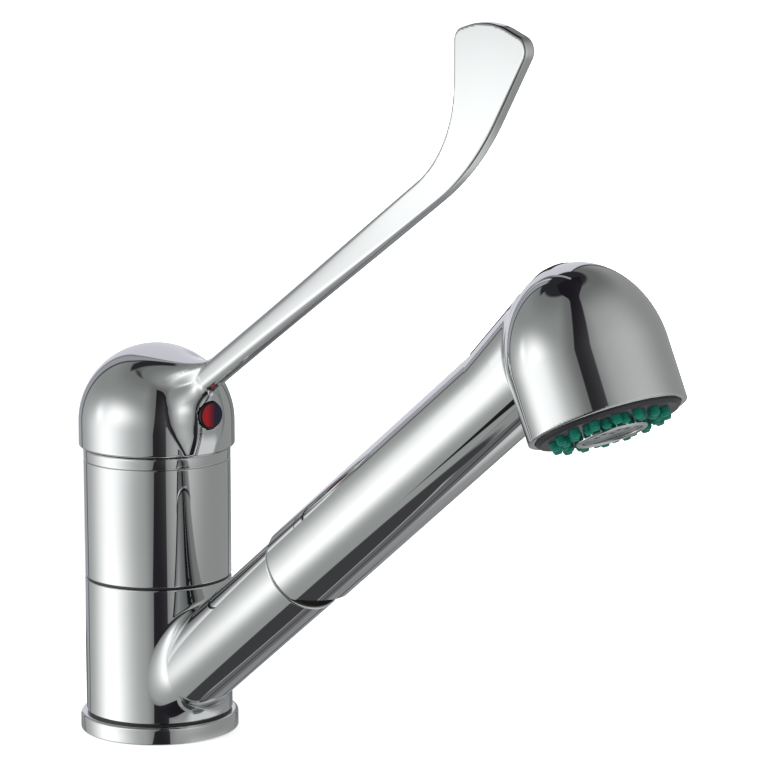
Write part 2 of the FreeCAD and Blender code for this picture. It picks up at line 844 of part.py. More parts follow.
def nozzle_places():
    """Centres of the nozzles, in two staggered rings."""
    places = []
    step = 2 * pi / nozzle_count
    for i in range(nozzle_count):
        for r, turn in ((nozzle_inner_d / 2, i * step), (nozzle_outer_d / 2, (i + 0.5) * step)):
            places.append((r * cos(turn), r * sin(turn)))
    return places


def spray_face():
    shape = rod(face_r, -face_proud, face_h)
    shape = shape.makeChamfer(face_edge, edges_where(shape, lambda p, e: abs(p.z + face_proud) < hair))
    shape = shape.cut(rod(aerator_d / 2 + fit, -face_proud - over, face_h + over))
    for x, y in nozzle_places():
        shape = shape.cut(rod(nozzle_d / 2 + fit, -face_proud - over, face_h + over, x, y))
    return on_face(shape)


def nozzle_mat():
    shape = ring(nozzle_outer_d / 2 + nozzle_d / 2 + mat_margin,
                 nozzle_inner_d / 2 - nozzle_d / 2 - mat_margin, face_h, face_h + mat_h)
    tip_low = -face_proud - nozzle_reach
    pieces = []
    for x, y in nozzle_places():
        pieces.append(rod(nozzle_d / 2, tip_low + nozzle_tip_h, face_h + mat_h, x, y))
        pieces.append(Part.makeCone(nozzle_tip_d / 2, nozzle_d / 2, nozzle_tip_h, V(x, y, tip_low), UP))
    return on_face(shape.multiFuse(pieces).removeSplitter())


def aerator_ring():
    shape = ring(aerator_d / 2, aerator_d / 2 - aerator_wall, -face_proud - aerator_proud, aerator_inside)
    shape = shape.makeFillet(aerator_edge, edges_where(
        shape, lambda p, e: abs(p.z + face_proud + aerator_proud) < hair))
    return on_face(shape)


def aerator_mesh():
    """The round screen, with a square grid of holes."""
    low = -face_proud - aerator_proud + mesh_sunk
    r = aerator_d / 2 - aerator_wall - fit
    shape = rod(r, low, low + mesh_h)
    count = int(r / mesh_step)
    half = mesh_hole_w / 2
    holes = []
    for i in range(-count, count + 1):
        for j in range(-count, count + 1):
            x = i * mesh_step
            y = j * mesh_step
            if sqrt(x ** 2 + y ** 2) < r - mesh_hole_w:
                holes.append(block(x - half, x + half, y - half, y + half, low - over, low + mesh_h + over))
    return on_face(shape.cut(holes))


def lower_slide_ring():
    return slide_ring(foot_top, 1)


def upper_slide_ring():
    return slide_ring(sleeve_top, -1)


def lower_o_ring():
    return o_ring(lower_o_ring_z)


def upper_o_ring():
    return o_ring(upper_o_ring_z)


NODES = [
    base_ring, base_seal, core_column, lower_slide_ring, upper_slide_ring, lower_o_ring, upper_o_ring,
    upper_body, bonnet_ring, cartridge_nut, cartridge_housing, cartridge_seals, fixed_disc,
    spout_body, guide_bush,
    cartridge_rotor, lever_pin, cartridge_stem, moving_disc, disc_carrier,
    lever, grub_screw, indicator_plug,
    handset_shell, tail_connector, check_valve, waterway, spray_face, nozzle_mat, aerator_ring,
    aerator_mesh, mode_rocker, rocker_pin, diverter_spool,
]

os.makedirs("parts", exist_ok=True)
for make in NODES:
    solid = make()
    if not solid.isValid():
        print("not valid:", make.__name__)
    if len(solid.Solids) != (3 if make is cartridge_seals else 1):
        print("solids:", make.__name__, len(solid.Solids))
    solid.exportStep("parts/" + make.__name__ + ".step")
print("nodes:", len(NODES))
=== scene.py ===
import json
from functools import partial
from itertools import product
from math import cos, degrees, pi, radians, sin, tan

import bmesh
import bpy
import numpy as np
from mathutils import Matrix, Vector


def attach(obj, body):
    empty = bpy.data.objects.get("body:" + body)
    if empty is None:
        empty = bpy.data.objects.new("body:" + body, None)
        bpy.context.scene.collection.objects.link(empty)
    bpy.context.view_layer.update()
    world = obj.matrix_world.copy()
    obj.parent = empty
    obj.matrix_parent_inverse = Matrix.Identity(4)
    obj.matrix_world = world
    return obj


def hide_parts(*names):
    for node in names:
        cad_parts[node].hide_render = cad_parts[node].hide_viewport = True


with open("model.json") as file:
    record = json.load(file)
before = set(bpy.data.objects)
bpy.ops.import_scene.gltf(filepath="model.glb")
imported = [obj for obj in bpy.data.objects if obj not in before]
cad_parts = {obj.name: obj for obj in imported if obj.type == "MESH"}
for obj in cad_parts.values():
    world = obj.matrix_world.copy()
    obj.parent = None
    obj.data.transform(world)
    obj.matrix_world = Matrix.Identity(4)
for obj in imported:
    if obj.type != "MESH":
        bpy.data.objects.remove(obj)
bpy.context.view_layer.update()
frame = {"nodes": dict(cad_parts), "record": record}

# A pull-out kitchen mixer, dressed for a look. Shapes are worked out in
# millimetres in the part's own frame and written to meshes in metres.
MM = 0.001

# Sizes that the CAD part has too
BODY_R = 23.25
FOOT_R = 25.1
FOOT_BORE_R = 19.9
FOOT_LOW, FOOT_TOP = 0.3, 5.6
SLEEVE_LOW, SLEEVE_TOP = 6.3, 49.3
SLEEVE_BORE_R = 20.4
RING_SEAT_R = 21.35
RING_SEATS = ((6.2, 10.3), (45.3, 49.4))
HOUSING_LOW, HOUSING_TOP = 50.0, 87.2
HOUSING_BORE_R = 20.15
BONNET_TOP = 91.0
BONNET_UNDER = BONNET_TOP - 1.8
BONNET_HOLE_R = 16.0
SPOUT_ANGLE = radians(36.4)
SPOUT_Z = 8.302
SOCKET_R = 13.05
SOCKET_END = 94.7
SOCKET_BORE_R = 11.4
SOCKET_FLOOR = 19.8
CAP_R = 24.65
CAP_Z = 99.0
CAP_LOW = 91.25
ARM_ANGLE = radians(32.1)
NOSE_Z = 104.6
FACE_X, FACE_Z = 207.9007, 127.5129
FACE_TILT = radians(26.8)
HEAD_R = 22.0


# Distance fields: negative inside, in millimetres
def blend(a, b, r):
    """Both shapes, with a fillet between them."""
    return np.maximum(r, np.minimum(a, b)) - np.hypot(np.maximum(r - a, 0), np.maximum(r - b, 0))


def meet(a, b, r):
    """What two shapes share, with the edge rounded."""
    return np.minimum(-r, np.maximum(a, b)) + np.hypot(np.maximum(r + a, 0), np.maximum(r + b, 0))


def carve(a, b, r=0.0):
    """The first shape without the second."""
    return meet(a, -b, r) if r else np.maximum(a, -b)


def corner(a, b, r, c):
    """What two flat sides share, with a true arc. c is the cosine between their outward ways."""
    u, v = a + r, b + r
    turned_in = (u > v * c) & (v > u * c)
    reach = np.sqrt(np.maximum(u * u + v * v - 2 * u * v * c, 0) / (1 - c * c))
    return np.where(turned_in, reach - r, np.maximum(a, b))


def melt(a, b, r):
    """Both shapes, eased into each other where they run almost side by side."""
    r = np.maximum(r, 1e-3)
    share = np.maximum(r - np.abs(a - b), 0) / r
    return np.minimum(a, b) - share ** 3 * r / 6


def slab(value, low, high):
    """What lies between two planes."""
    return np.abs(value - (low + high) / 2) - (high - low) / 2


def drum(rho, along, r, low, high, edge=0.0):
    """A round bar between two ends, with its end edges rounded where an edge is given."""
    ends = slab(along, low, high)
    return meet(rho - r, ends, edge) if edge else np.maximum(rho - r, ends)


def ease(value, low, high):
    """0 below low, 1 above high, smooth between."""
    share = np.clip((value - low) / (high - low), 0, 1)
    return share * share * (3 - 2 * share)


def spout_frame(x, z):
    """Distance along the spout's axis and above it."""
    up = z - SPOUT_Z
    c, s = cos(SPOUT_ANGLE), sin(SPOUT_ANGLE)
    return x * c + up * s, up * c - x * s


def face_frame(x, z):
    """Distance across the spray face towards the front, and above the face."""
    dx, dz = x - FACE_X, z - FACE_Z
    c, s = cos(FACE_TILT), sin(FACE_TILT)
    return dx * c + dz * s, dz * c - dx * s


def tilted(x, z, x0, z0, angle):
    """Distance above a line through a point that rises at an angle."""
    return (z - z0) * cos(angle) - (x - x0) * sin(angle)


# Meshes
def put_in_scene(name, mesh):
    """An object of the scene that shows a mesh."""
    obj = bpy.data.objects.new(name, mesh)
    bpy.context.scene.collection.objects.link(obj)
    return obj


def mesh_object(name, verts, faces, normals=None):
    """A smooth-shaded object from points in millimetres."""
    mesh = bpy.data.meshes.new(name)
    mesh.from_pydata((np.asarray(verts) * MM).tolist(), [], np.asarray(faces).tolist())
    mesh.validate()
    mesh.polygons.foreach_set("use_smooth", [True] * len(mesh.polygons))
    if normals is not None:
        mesh.normals_split_custom_set_from_vertices(np.asarray(normals).tolist())
    mesh.update()
    return put_in_scene(name, mesh)


def gradient(field, p):
    """The field's slope at each point."""
    step = 0.01
    out = np.empty_like(p)
    for axis in range(3):
        shift = np.zeros(3)
        shift[axis] = step
        out[:, axis] = (field(*(p + shift).T) - field(*(p - shift).T)) / (2 * step)
    return out


def lattice(counts):
    """All whole-number points below three counts."""
    axes = [np.arange(count) for count in counts]
    return np.stack(np.meshgrid(*axes, indexing="ij"), -1).reshape(-1, 3)


BLOCK = 8           # cells along a block's side
BLOCK_REACH = 1.35  # how far from its middle, in sides, a block still looks for the surface
BATCH = 400         # blocks worked out at a time
SETTLE_STEPS = 4    # how often the points are moved onto the surface


def skin(name, field, low, high, cell):
    """A closed mesh on the zero surface of a field, with the field's own normals."""
    # the field's values on a grid, only in the blocks that the surface can pass
    low = np.array(low, float)
    blocks = np.ceil((np.array(high, float) - low) / (cell * BLOCK)).astype(int)
    index = lattice(blocks)
    middle = low + (index + 0.5) * cell * BLOCK
    kept = index[np.abs(field(*middle.T)) < cell * BLOCK * BLOCK_REACH]
    spots = lattice([BLOCK + 1] * 3)
    values = np.full(blocks * BLOCK + 1, np.nan, np.float32)
    for start in range(0, len(kept), BATCH):
        at = (kept[start:start + BATCH, None, :] * BLOCK + spots[None]).reshape(-1, 3)
        values[tuple(at.T)] = field(*(low + at * cell).T)
    inside = values < 0
    known = np.isfinite(values)

    # the cells that the surface passes through have corners on both sides
    halves = (slice(0, -1), slice(1, None))
    corners = np.array(list(product((0, 1), repeat=3)))
    total = np.zeros(np.array(values.shape) - 1, np.int8)
    full = np.ones(total.shape, bool)
    for i, j, k in corners:
        part = (halves[i], halves[j], halves[k])
        total += inside[part]
        full &= known[part]
    cells = full & (total > 0) & (total < 8)
    at = np.argwhere(cells)
    number = np.full(cells.shape, -1, np.int32)
    number[tuple(at.T)] = np.arange(len(at))

    # one point in each of them, first at the mean of where its edges are cut
    summed = np.zeros((len(at), 3))
    count = np.zeros(len(at))
    for a in corners:
        for axis in range(3):
            if a[axis]:
                continue
            b = a.copy()
            b[axis] = 1
            fa = values[tuple((at + a).T)].astype(float)
            fb = values[tuple((at + b).T)].astype(float)
            hit = (fa < 0) != (fb < 0)
            share = np.where(hit, fa / np.where(hit, fa - fb, 1), 0)
            summed += hit[:, None] * (a + share[:, None] * (b - a))
            count += hit
    p = low + (at + summed / count[:, None]) * cell
    for _ in range(SETTLE_STEPS):
        slope = gradient(field, p)
        steepness = np.maximum((slope ** 2).sum(1), 0.05)
        move = -(field(*p.T) / steepness)[:, None] * slope
        length = np.linalg.norm(move, axis=1)
        p += move * np.minimum(1, 0.5 * cell / np.maximum(length, 1e-9))[:, None]
    slope = gradient(field, p)
    normals = slope / np.maximum(np.linalg.norm(slope, axis=1), 1e-9)[:, None]

    # a face round every grid edge that the surface cuts
    faces = []
    for axis in range(3):
        u, v = [(1, 2), (2, 0), (0, 1)][axis]
        first = [slice(None)] * 3
        second = [slice(None)] * 3
        first[axis], second[axis] = halves
        a, b = inside[tuple(first)], inside[tuple(second)]
        both = known[tuple(first)] & known[tuple(second)]
        edge = np.argwhere(both & (a != b))
        edge = edge[(edge[:, u] > 0) & (edge[:, v] > 0)]
        edge = edge[(edge[:, u] < cells.shape[u]) & (edge[:, v] < cells.shape[v])]
        around = []
        for du, dv in ((-1, -1), (0, -1), (0, 0), (-1, 0)):
            spot = edge.copy()
            spot[:, u] += du
            spot[:, v] += dv
            around.append(number[tuple(spot.T)])
        quad = np.stack(around, 1)
        flip = ~a[tuple(edge.T)]
        quad[flip] = quad[flip][:, ::-1]
        faces.append(quad[(quad >= 0).all(1)])
    return mesh_object(name, p, np.concatenate(faces), normals)


ROUND_STEPS = 256
CREASE = radians(32)  # edges that turn more than this are shaded crisp


def turned(name, profile, place=None):
    """A round piece from its closed profile of (radius, height) points, with crisp corners."""
    mesh = bpy.data.meshes.new(name)
    bm = bmesh.new()
    rings = []
    for r, z in profile:
        ring = []
        for i in range(ROUND_STEPS):
            angle = 2 * pi * i / ROUND_STEPS
            ring.append(bm.verts.new((r * cos(angle) * MM, r * sin(angle) * MM, z * MM)))
        rings.append(ring)
    for a, b in zip(rings, rings[1:] + rings[:1]):
        for i in range(ROUND_STEPS):
            j = (i + 1) % ROUND_STEPS
            face = bm.faces.new((a[i], a[j], b[j], b[i]))
            face.smooth = True
    bmesh.ops.recalc_face_normals(bm, faces=bm.faces)
    for edge in bm.edges:
        if len(edge.link_faces) == 2 and edge.calc_face_angle() > CREASE:
            edge.smooth = False
    bm.to_mesh(mesh)
    bm.free()
    if place:
        mesh.transform(place)
    return put_in_scene(name, mesh)


def rounded(points):
    """Profile corners (r, z, radius) turned into short arcs."""
    steps = 6
    out = []
    for i, (*place, r) in enumerate(points):
        here = Vector(place)
        before = Vector(points[i - 1][:2]) - here
        after = Vector(points[(i + 1) % len(points)][:2]) - here
        if not r:
            out.append(tuple(here))
            continue
        half = before.angle(after) / 2
        # no arc takes more than about half of a side
        reach = min(r / tan(half), before.length * 0.49, after.length * 0.49)
        r = reach * tan(half)
        centre = here + (before.normalized() + after.normalized()).normalized() * (r / sin(half))
        start = here + before.normalized() * reach - centre
        end = here + after.normalized() * reach - centre
        sweep = start.angle_signed(end)
        for k in range(steps + 1):
            a = -sweep * k / steps
            out.append((centre.x + start.x * cos(a) - start.y * sin(a),
                        centre.y + start.x * sin(a) + start.y * cos(a)))
    return out


# Spout
def spout_field(x, y, z):
    """The sleeve with its socket arm, the seats of the slide rings and the bores."""
    rho = np.hypot(x, y)
    s, n = spout_frame(x, z)
    across = np.hypot(n, y)
    sleeve = drum(rho, z, BODY_R, SLEEVE_LOW, SLEEVE_TOP, 0.4)
    arm = drum(across, s, SOCKET_R, 2.0, SOCKET_END, 0.6)
    arm = np.maximum(arm, np.maximum(SLEEVE_LOW + 0.4 - z, -x))
    shape = blend(sleeve, arm, 3.2)
    # each cut reaches a little past the end that it opens
    shape = carve(shape, drum(rho, z, SLEEVE_BORE_R, 0, 60))
    for low, high in RING_SEATS:
        shape = carve(shape, drum(rho, z, RING_SEAT_R, low - 1, high + 1))
    return carve(shape, drum(across, s, SOCKET_BORE_R, SOCKET_FLOOR, SOCKET_END + 2))


# Lever
ARM_UNDER, ARM_OVER = 5.05, 3.95      # the arm's underside and top, from its axis
ARM_HALF, ARM_THINNER = 3.7, 1.8      # half its width at the cap, and how much less the blade is
ARM_THIN_X = 143.0                    # where it is thinnest
FLAT_FROM_X, FLAT_TO_X = 55.0, 162.0  # where its sides go from oval to flat
BLADE_FRONT_X, BLADE_REAR_X = 154.4, 146.0
BLADE_LEAN = radians(56.5)            # of the blade's front
CROWN_X, CROWN_RISE = 160.2, 36.85    # the blade's peak, its rise over the arm's top
CROWN_UP, CROWN_DOWN = radians(15.0), radians(19.5)
ROOT_UNDER, ROOT_MORE = 7.5, 8.5      # round of the arm's root below, and how much more above
NOSE_X, NOSE_R = 29.2, 7.0
NOSE_LEAN, NOSE_LEAN_Z = radians(24.0), 98.8
HOLLOW_R = 22.4                       # the ball inside the cap
SKIRT_BORE_R, SKIRT_BORE_TOP = 22.7, 94.65
HUB_R, HUB_LOW = 7.5, 99.0
WEB_HALF, WEB_LOW = 4.5, 99.6         # the rib from the hub to the nose
STEM_HALF, STEM_TOP = 4.05, 106.05    # the square hole for the cartridge's stem
SCREW_R = 2.55
PLUG_SEAT_R, PLUG_SEAT_X = 4.3, 27.2


def arm_field(x, y, z):
    """The arm and its blade."""
    over = tilted(x, z, 0, CAP_Z, ARM_ANGLE)
    front_z = CAP_Z - ARM_UNDER / cos(ARM_ANGLE) + BLADE_FRONT_X * tan(ARM_ANGLE)
    crown_z = CAP_Z + ARM_OVER / cos(ARM_ANGLE) + BLADE_REAR_X * tan(ARM_ANGLE) + CROWN_RISE
    front = -tilted(x, z, BLADE_FRONT_X, front_z, BLADE_LEAN)
    lower = corner(-over - ARM_UNDER, front, 80.0, cos(BLADE_LEAN - ARM_ANGLE))
    crown = corner(tilted(x, z, CROWN_X, crown_z, CROWN_UP),
                   tilted(x, z, CROWN_X, crown_z, -CROWN_DOWN), 28.0, cos(CROWN_UP + CROWN_DOWN))
    upper = -corner(ARM_OVER - over, x - BLADE_REAR_X, 34.0, sin(ARM_ANGLE))
    side = corner(lower, crown, 4.2, -cos(BLADE_LEAN + CROWN_DOWN))
    side = corner(side, upper, 4.0, sin(CROWN_UP))
    half = ARM_HALF - ARM_THINNER * np.clip((x - CAP_R) / (ARM_THIN_X - CAP_R), 0, 1)
    # the arm is oval, the blade flat with a small round on its edges
    flat = ease(x, FLAT_FROM_X, FLAT_TO_X)
    swell = 0.03 * np.clip(over + 0.55, -4.5, 4.5) ** 2 * (1 - flat) ** 2
    return meet(side, np.abs(y) - half + swell, half * (0.97 - 0.55 * flat))


def lever_field(x, y, z):
    """The cap with its nose and arm, and the hollows in it."""
    rho = np.hypot(x, y)
    # the cap is round above, with a straight skirt below
    dome = np.sqrt(x * x + y * y + np.maximum(z - CAP_Z, 0) ** 2) - CAP_R
    # the arm's top runs into the cap with a wider round than its underside
    over = tilted(x, z, 0, CAP_Z, ARM_ANGLE)
    high = ease(over / np.maximum(np.hypot(over, y), 1e-6), 0.0, 0.9)
    shape = blend(dome, np.maximum(arm_field(x, y, z), 2.0 - x), ROOT_UNDER + ROOT_MORE * high)
    # the nose's front stands upright round the indicator and runs back to the rim
    lean = -tilted(x, z, NOSE_X, NOSE_LEAN_Z, pi / 2 - NOSE_LEAN)
    front = corner(x - NOSE_X, lean, 20.0, cos(NOSE_LEAN))
    nose = meet(front, np.hypot(y, np.maximum(z - NOSE_Z, 0)) - NOSE_R, 5.0)
    shape = blend(shape, np.maximum(nose, -x), 0.5 + 4.0 * ease(z, 91.5, 102.5))
    shape = meet(shape, CAP_LOW - z, 1.0)
    # the hollow leaves the hub and its rib standing
    ball = np.sqrt(x * x + y * y + (z - CAP_Z) ** 2)
    hub = np.maximum(rho - HUB_R, HUB_LOW - z)
    web = np.maximum(np.maximum(np.abs(y) - WEB_HALF, -x), WEB_LOW - z)
    hollow = np.maximum(ball - HOLLOW_R, -np.minimum(hub, web))
    hollow = np.minimum(hollow, drum(rho, z, SKIRT_BORE_R, 80, SKIRT_BORE_TOP))
    stem = np.maximum(np.maximum(np.abs(x), np.abs(y)) - STEM_HALF, z - STEM_TOP)
    across = np.hypot(y, z - NOSE_Z)
    for hole in (hollow, stem, drum(across, x, SCREW_R, 0, 40)):
        shape = carve(shape, hole)
    return carve(shape, drum(across, x, PLUG_SEAT_R, PLUG_SEAT_X, 40), 0.25)


# Handset, in the spout's frame
GRIP_LOW, GRIP_END = 95.9, 241.0
GRIP_R, GRIP_TAPER = 14.0, 0.0058
SADDLE_S, SADDLE_TILT = 205.0, radians(6.2)  # where the saddle leaves the grip, and how steeply
SADDLE_EDGE = 3.0
DOME_LOW, DOME_RISE = 17.4, 27.0             # the dome: its start over the face, its height
HEAD_BORE_R, HEAD_BORE_RISE = 20.1, 25.1
HEAD_BORE_TOP = 33.5
GRIP_BORE_R, GRIP_BORE_END = 10.8, 199
WATER_BORE_R, WATER_BORE_END = 7.55, 234
POCKET_LOW, POCKET_END = 204.1, 248.9        # the rocker's pocket
POCKET_HALF, POCKET_FLOOR = 6.9, 9.6
PRESS_SLOPE, PRESS_COS = 0.1051, 0.9945      # the floor's slope, for the rocker's 6 degrees
SPOOL_BORE_R, SPOOL_BORE_LOW = 2.55, 33.0
PIN_S, PIN_N = 224.0, 11.4
PIN_R, PIN_HALF = 1.05, 7.75


def saddle_bar(s, n, y, r, end):
    """A round bar that leaves the grip's axis upwards."""
    ahead = s - SADDLE_S
    along = ahead * cos(SADDLE_TILT) + n * sin(SADDLE_TILT)
    above = n * cos(SADDLE_TILT) - ahead * sin(SADDLE_TILT)
    length = (end - SADDLE_S) / cos(SADDLE_TILT)
    return drum(np.hypot(above, y), along, r, 0, length, SADDLE_EDGE)


def dome_field(x, y, z):
    """The head: straight above its face, then half an ellipsoid."""
    q, h = face_frame(x, z)
    rho = np.hypot(q, y)
    up = np.maximum(h - DOME_LOW, 0)
    k0 = np.sqrt((rho / HEAD_R) ** 2 + (up / DOME_RISE) ** 2)
    k1 = np.sqrt((rho / HEAD_R ** 2) ** 2 + (up / DOME_RISE ** 2) ** 2)
    return k0 * (k0 - 1) / np.maximum(k1, 1e-6)


def pin_hole(s, n):
    """The bore of the rocker's pin."""
    return np.hypot(s - PIN_S, n - PIN_N) - PIN_R


def handset_field(x, y, z):
    """The grip with the saddle and the head, and the hollows in them."""
    s, n = spout_frame(x, z)
    q, h = face_frame(x, z)
    across = np.hypot(n, y)
    rho = np.hypot(q, y)
    up = np.maximum(h - DOME_LOW, 0)
    radius = GRIP_R - (s - GRIP_LOW) * GRIP_TAPER
    grip = meet(across - radius, slab(s, GRIP_LOW, GRIP_END), 1.0)
    ease_in = 1.2 * np.clip((s - 205.5) / 14.0, 0, 1)
    tube = melt(grip, saddle_bar(s, n, y, 13.2, 237.0), ease_in)
    dome = meet(dome_field(x, y, z), -h, 0.5)
    # the fillet between tube and head is wider on top
    top = np.clip(n / np.maximum(across, 1e-6), 0, 1) ** 4
    shape = blend(tube, dome, 1.6 + 2.6 * top)
    inner = (np.sqrt((rho / HEAD_BORE_R) ** 2 + (up / HEAD_BORE_RISE) ** 2) - 1) * HEAD_BORE_R
    shape = carve(shape, np.maximum(inner, np.maximum(h - HEAD_BORE_TOP, -h - 2)), 0.25)
    shape = carve(shape, drum(across, s, GRIP_BORE_R, 90, GRIP_BORE_END))
    shape = carve(shape, drum(across, s, WATER_BORE_R, GRIP_BORE_END - 1, WATER_BORE_END))
    sloped = (POCKET_FLOOR - n - (s - PIN_S) * PRESS_SLOPE) * PRESS_COS
    above_floor = np.minimum(POCKET_FLOOR - n, sloped)
    pocket = np.maximum(slab(s, POCKET_LOW, POCKET_END), np.abs(y) - POCKET_HALF)
    shape = carve(shape, np.maximum(pocket, above_floor), 0.15)
    shape = carve(shape, np.maximum(rho - SPOOL_BORE_R, SPOOL_BORE_LOW - h))
    return carve(shape, np.maximum(pin_hole(s, n), np.abs(y) - PIN_HALF))


def rocker_field(x, y, z):
    """The button in the saddle. Its front end follows the head's dome."""
    s, n = spout_frame(x, z)
    form = melt(saddle_bar(s, n, y, 13.5, 238.0), dome_field(x, y, z) - 0.35, 1.0)
    sides = meet(slab(s, 204.5, 248.5), np.abs(y) - 6.5, 0.8)
    shape = np.maximum(meet(form, sides, 0.6), 10.0 - n)
    return carve(shape, pin_hole(s, n))


# Shader nodes
def maths(tree, op, a, b=None):
    """A Math node's result. Inputs are numbers or sockets."""
    node = tree.nodes.new("ShaderNodeMath")
    node.operation = op
    for socket, value in zip(node.inputs, (a, b)):
        if isinstance(value, (int, float)):
            socket.default_value = value
        elif value is not None:
            tree.links.new(value, socket)
    return node.outputs[0]


def ramp(tree, value, low, high):
    """0 below low, 1 above high, smooth between."""
    node = tree.nodes.new("ShaderNodeMapRange")
    node.interpolation_type = "SMOOTHSTEP"
    tree.links.new(value, node.inputs["Value"])
    node.inputs["From Min"].default_value = low
    node.inputs["From Max"].default_value = high
    return node.outputs[0]


def window(tree, value, low, high, edge):
    """1 between two values, with soft edges."""
    rise = ramp(tree, value, low - edge, low + edge)
    fall = ramp(tree, value, high - edge, high + edge)
    return maths(tree, "MULTIPLY", rise, maths(tree, "SUBTRACT", 1.0, fall))


MIX_FACTOR, MIX_A, MIX_B, MIX_RESULT = 0, 6, 7, 2  # where a colour Mix node has its sockets


def mix(tree, share, a, b, kind="MIX"):
    """Mixes two colours. Each is a tuple or a socket, and the share a number or a socket."""
    node = tree.nodes.new("ShaderNodeMix")
    node.data_type = "RGBA"
    node.blend_type = kind
    for index, value in ((MIX_FACTOR, share), (MIX_A, a), (MIX_B, b)):
        socket = node.inputs[index]
        if isinstance(value, tuple):
            socket.default_value = (*value, 1)
        elif isinstance(value, (int, float)):
            socket.default_value = value
        else:
            tree.links.new(value, socket)
    return node.outputs[MIX_RESULT]


def mottled(name, colour, rough, metal=0.0, bump=0.0, specular=0.5, scale=400.0, detail=4.0,
            spread=0.12, uneven=0.15):
    """A material whose colour and gloss are faintly mottled."""
    mat = bpy.data.materials.new(name)
    mat.use_nodes = True
    tree = mat.node_tree
    shader = tree.nodes["Principled BSDF"]
    shader.inputs["Metallic"].default_value = metal
    shader.inputs["Specular IOR Level"].default_value = specular
    place = tree.nodes.new("ShaderNodeTexCoord")
    noise = tree.nodes.new("ShaderNodeTexNoise")
    noise.inputs["Scale"].default_value = scale
    noise.inputs["Detail"].default_value = detail
    tree.links.new(place.outputs["Object"], noise.inputs["Vector"])
    mottle = noise.outputs["Fac"]
    darker = tuple(c * (1 - spread) for c in colour)
    lighter = tuple(min(c * (1 + spread), 1) for c in colour)
    tree.links.new(mix(tree, mottle, darker, lighter), shader.inputs["Base Color"])
    gloss = tree.nodes.new("ShaderNodeMapRange")
    gloss.inputs["To Min"].default_value = rough * (1 - uneven)
    gloss.inputs["To Max"].default_value = rough * (1 + uneven)
    tree.links.new(mottle, gloss.inputs["Value"])
    tree.links.new(gloss.outputs["Result"], shader.inputs["Roughness"])
    if bump:
        relief = tree.nodes.new("ShaderNodeBump")
        relief.inputs["Strength"].default_value = bump
        relief.inputs["Distance"].default_value = 0.0001
        tree.links.new(mottle, relief.inputs["Height"])
        tree.links.new(relief.outputs["Normal"], shader.inputs["Normal"])
    return mat


# The indicator's colours after red, and from where to where each comes in, in metres: the
# first two towards the mixer's left, the rim outwards
DEEP_RED, DEEP_RED_SPAN = (0.11, 0.004, 0.014), (-0.0022, 0.0008)
NAVY, NAVY_SPAN = (0.012, 0.013, 0.045), (0.0004, 0.0013)
RIM, RIM_SPAN = (0.01, 0.008, 0.01), (0.0035, 0.00375)


def indicator_finish():
    """Red on one side and dark blue on the other, inside a dark rim."""
    mat = mottled("indicator", (0.42, 0.006, 0.012), 0.3, specular=0.25)
    tree = mat.node_tree
    calc = partial(maths, tree)
    base = tree.nodes["Principled BSDF"].inputs["Base Color"]
    colour = base.links[0].from_socket
    place = next(node for node in tree.nodes if node.type == "TEX_COORD")
    split = tree.nodes.new("ShaderNodeSeparateXYZ")
    tree.links.new(place.outputs["Object"], split.inputs[0])
    _, left, height = split.outputs
    up = calc("SUBTRACT", height, NOSE_Z * MM)
    squares = calc("ADD", calc("MULTIPLY", up, up), calc("MULTIPLY", left, left))
    out = calc("SQRT", squares)
    for value, span, rgb in ((left, DEEP_RED_SPAN, DEEP_RED), (left, NAVY_SPAN, NAVY),
                             (out, RIM_SPAN, RIM)):
        colour = mix(tree, ramp(tree, value, *span), colour, rgb)
    tree.links.new(colour, base)
    return mat


FINISH = {
    "chrome": mottled("chrome", (0.66, 0.665, 0.67), 0.03, metal=1.0, scale=60.0, detail=3.0,
                      spread=0.03, uneven=0.3),
    "brass": mottled("brass", (0.72, 0.52, 0.22), 0.32, metal=1.0),
    "steel": mottled("steel", (0.55, 0.55, 0.56), 0.28, metal=1.0),
    "black_plastic": mottled("black_plastic", (0.018, 0.018, 0.02), 0.38, bump=0.2),
    "face_plastic": mottled("face_plastic", (0.03, 0.027, 0.036), 0.42, bump=0.25),
    "white_plastic": mottled("white_plastic", (0.78, 0.77, 0.74), 0.4, bump=0.2),
    "grey_plastic": mottled("grey_plastic", (0.30, 0.31, 0.32), 0.4, bump=0.2),
    "ceramic": mottled("ceramic", (0.80, 0.79, 0.76), 0.25),
    "rubber": mottled("rubber", (0.02, 0.02, 0.02), 0.6, bump=0.3),
    "silicone": mottled("silicone", (0.0, 0.21, 0.145), 0.5, bump=0.15, specular=0.25),
    "indicator": indicator_finish(),
}


def paint(obj, name):
    """Gives an object one finish in place of what it had."""
    obj.data.materials.clear()
    obj.data.materials.append(FINISH[name])


def dress(obj, body, finish, *nodes):
    """Gives a new piece its finish and its body, and hides the CAD nodes that it stands for."""
    paint(obj, finish)
    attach(obj, body)
    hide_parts(*nodes)


# The cast pieces, each with the box that it lies in and the width of its cells
dress(skin("spout", spout_field, (-26, -26, 4), (92, 26, 76), 0.5),
      "spout", "chrome", "spout_body")
dress(skin("lever_cast", lever_field, (-26, -26, 90), (186, 26, 234), 0.5),
      "lever", "chrome", "lever")
dress(skin("handset_cast", handset_field, (68, -24, 58), (238, 24, 182), 0.5),
      "handset", "chrome", "handset_shell")
dress(skin("mode_button", rocker_field, (140, -8, 130), (204, 8, 182), 0.3),
      "rocker", "black_plastic", "mode_rocker")

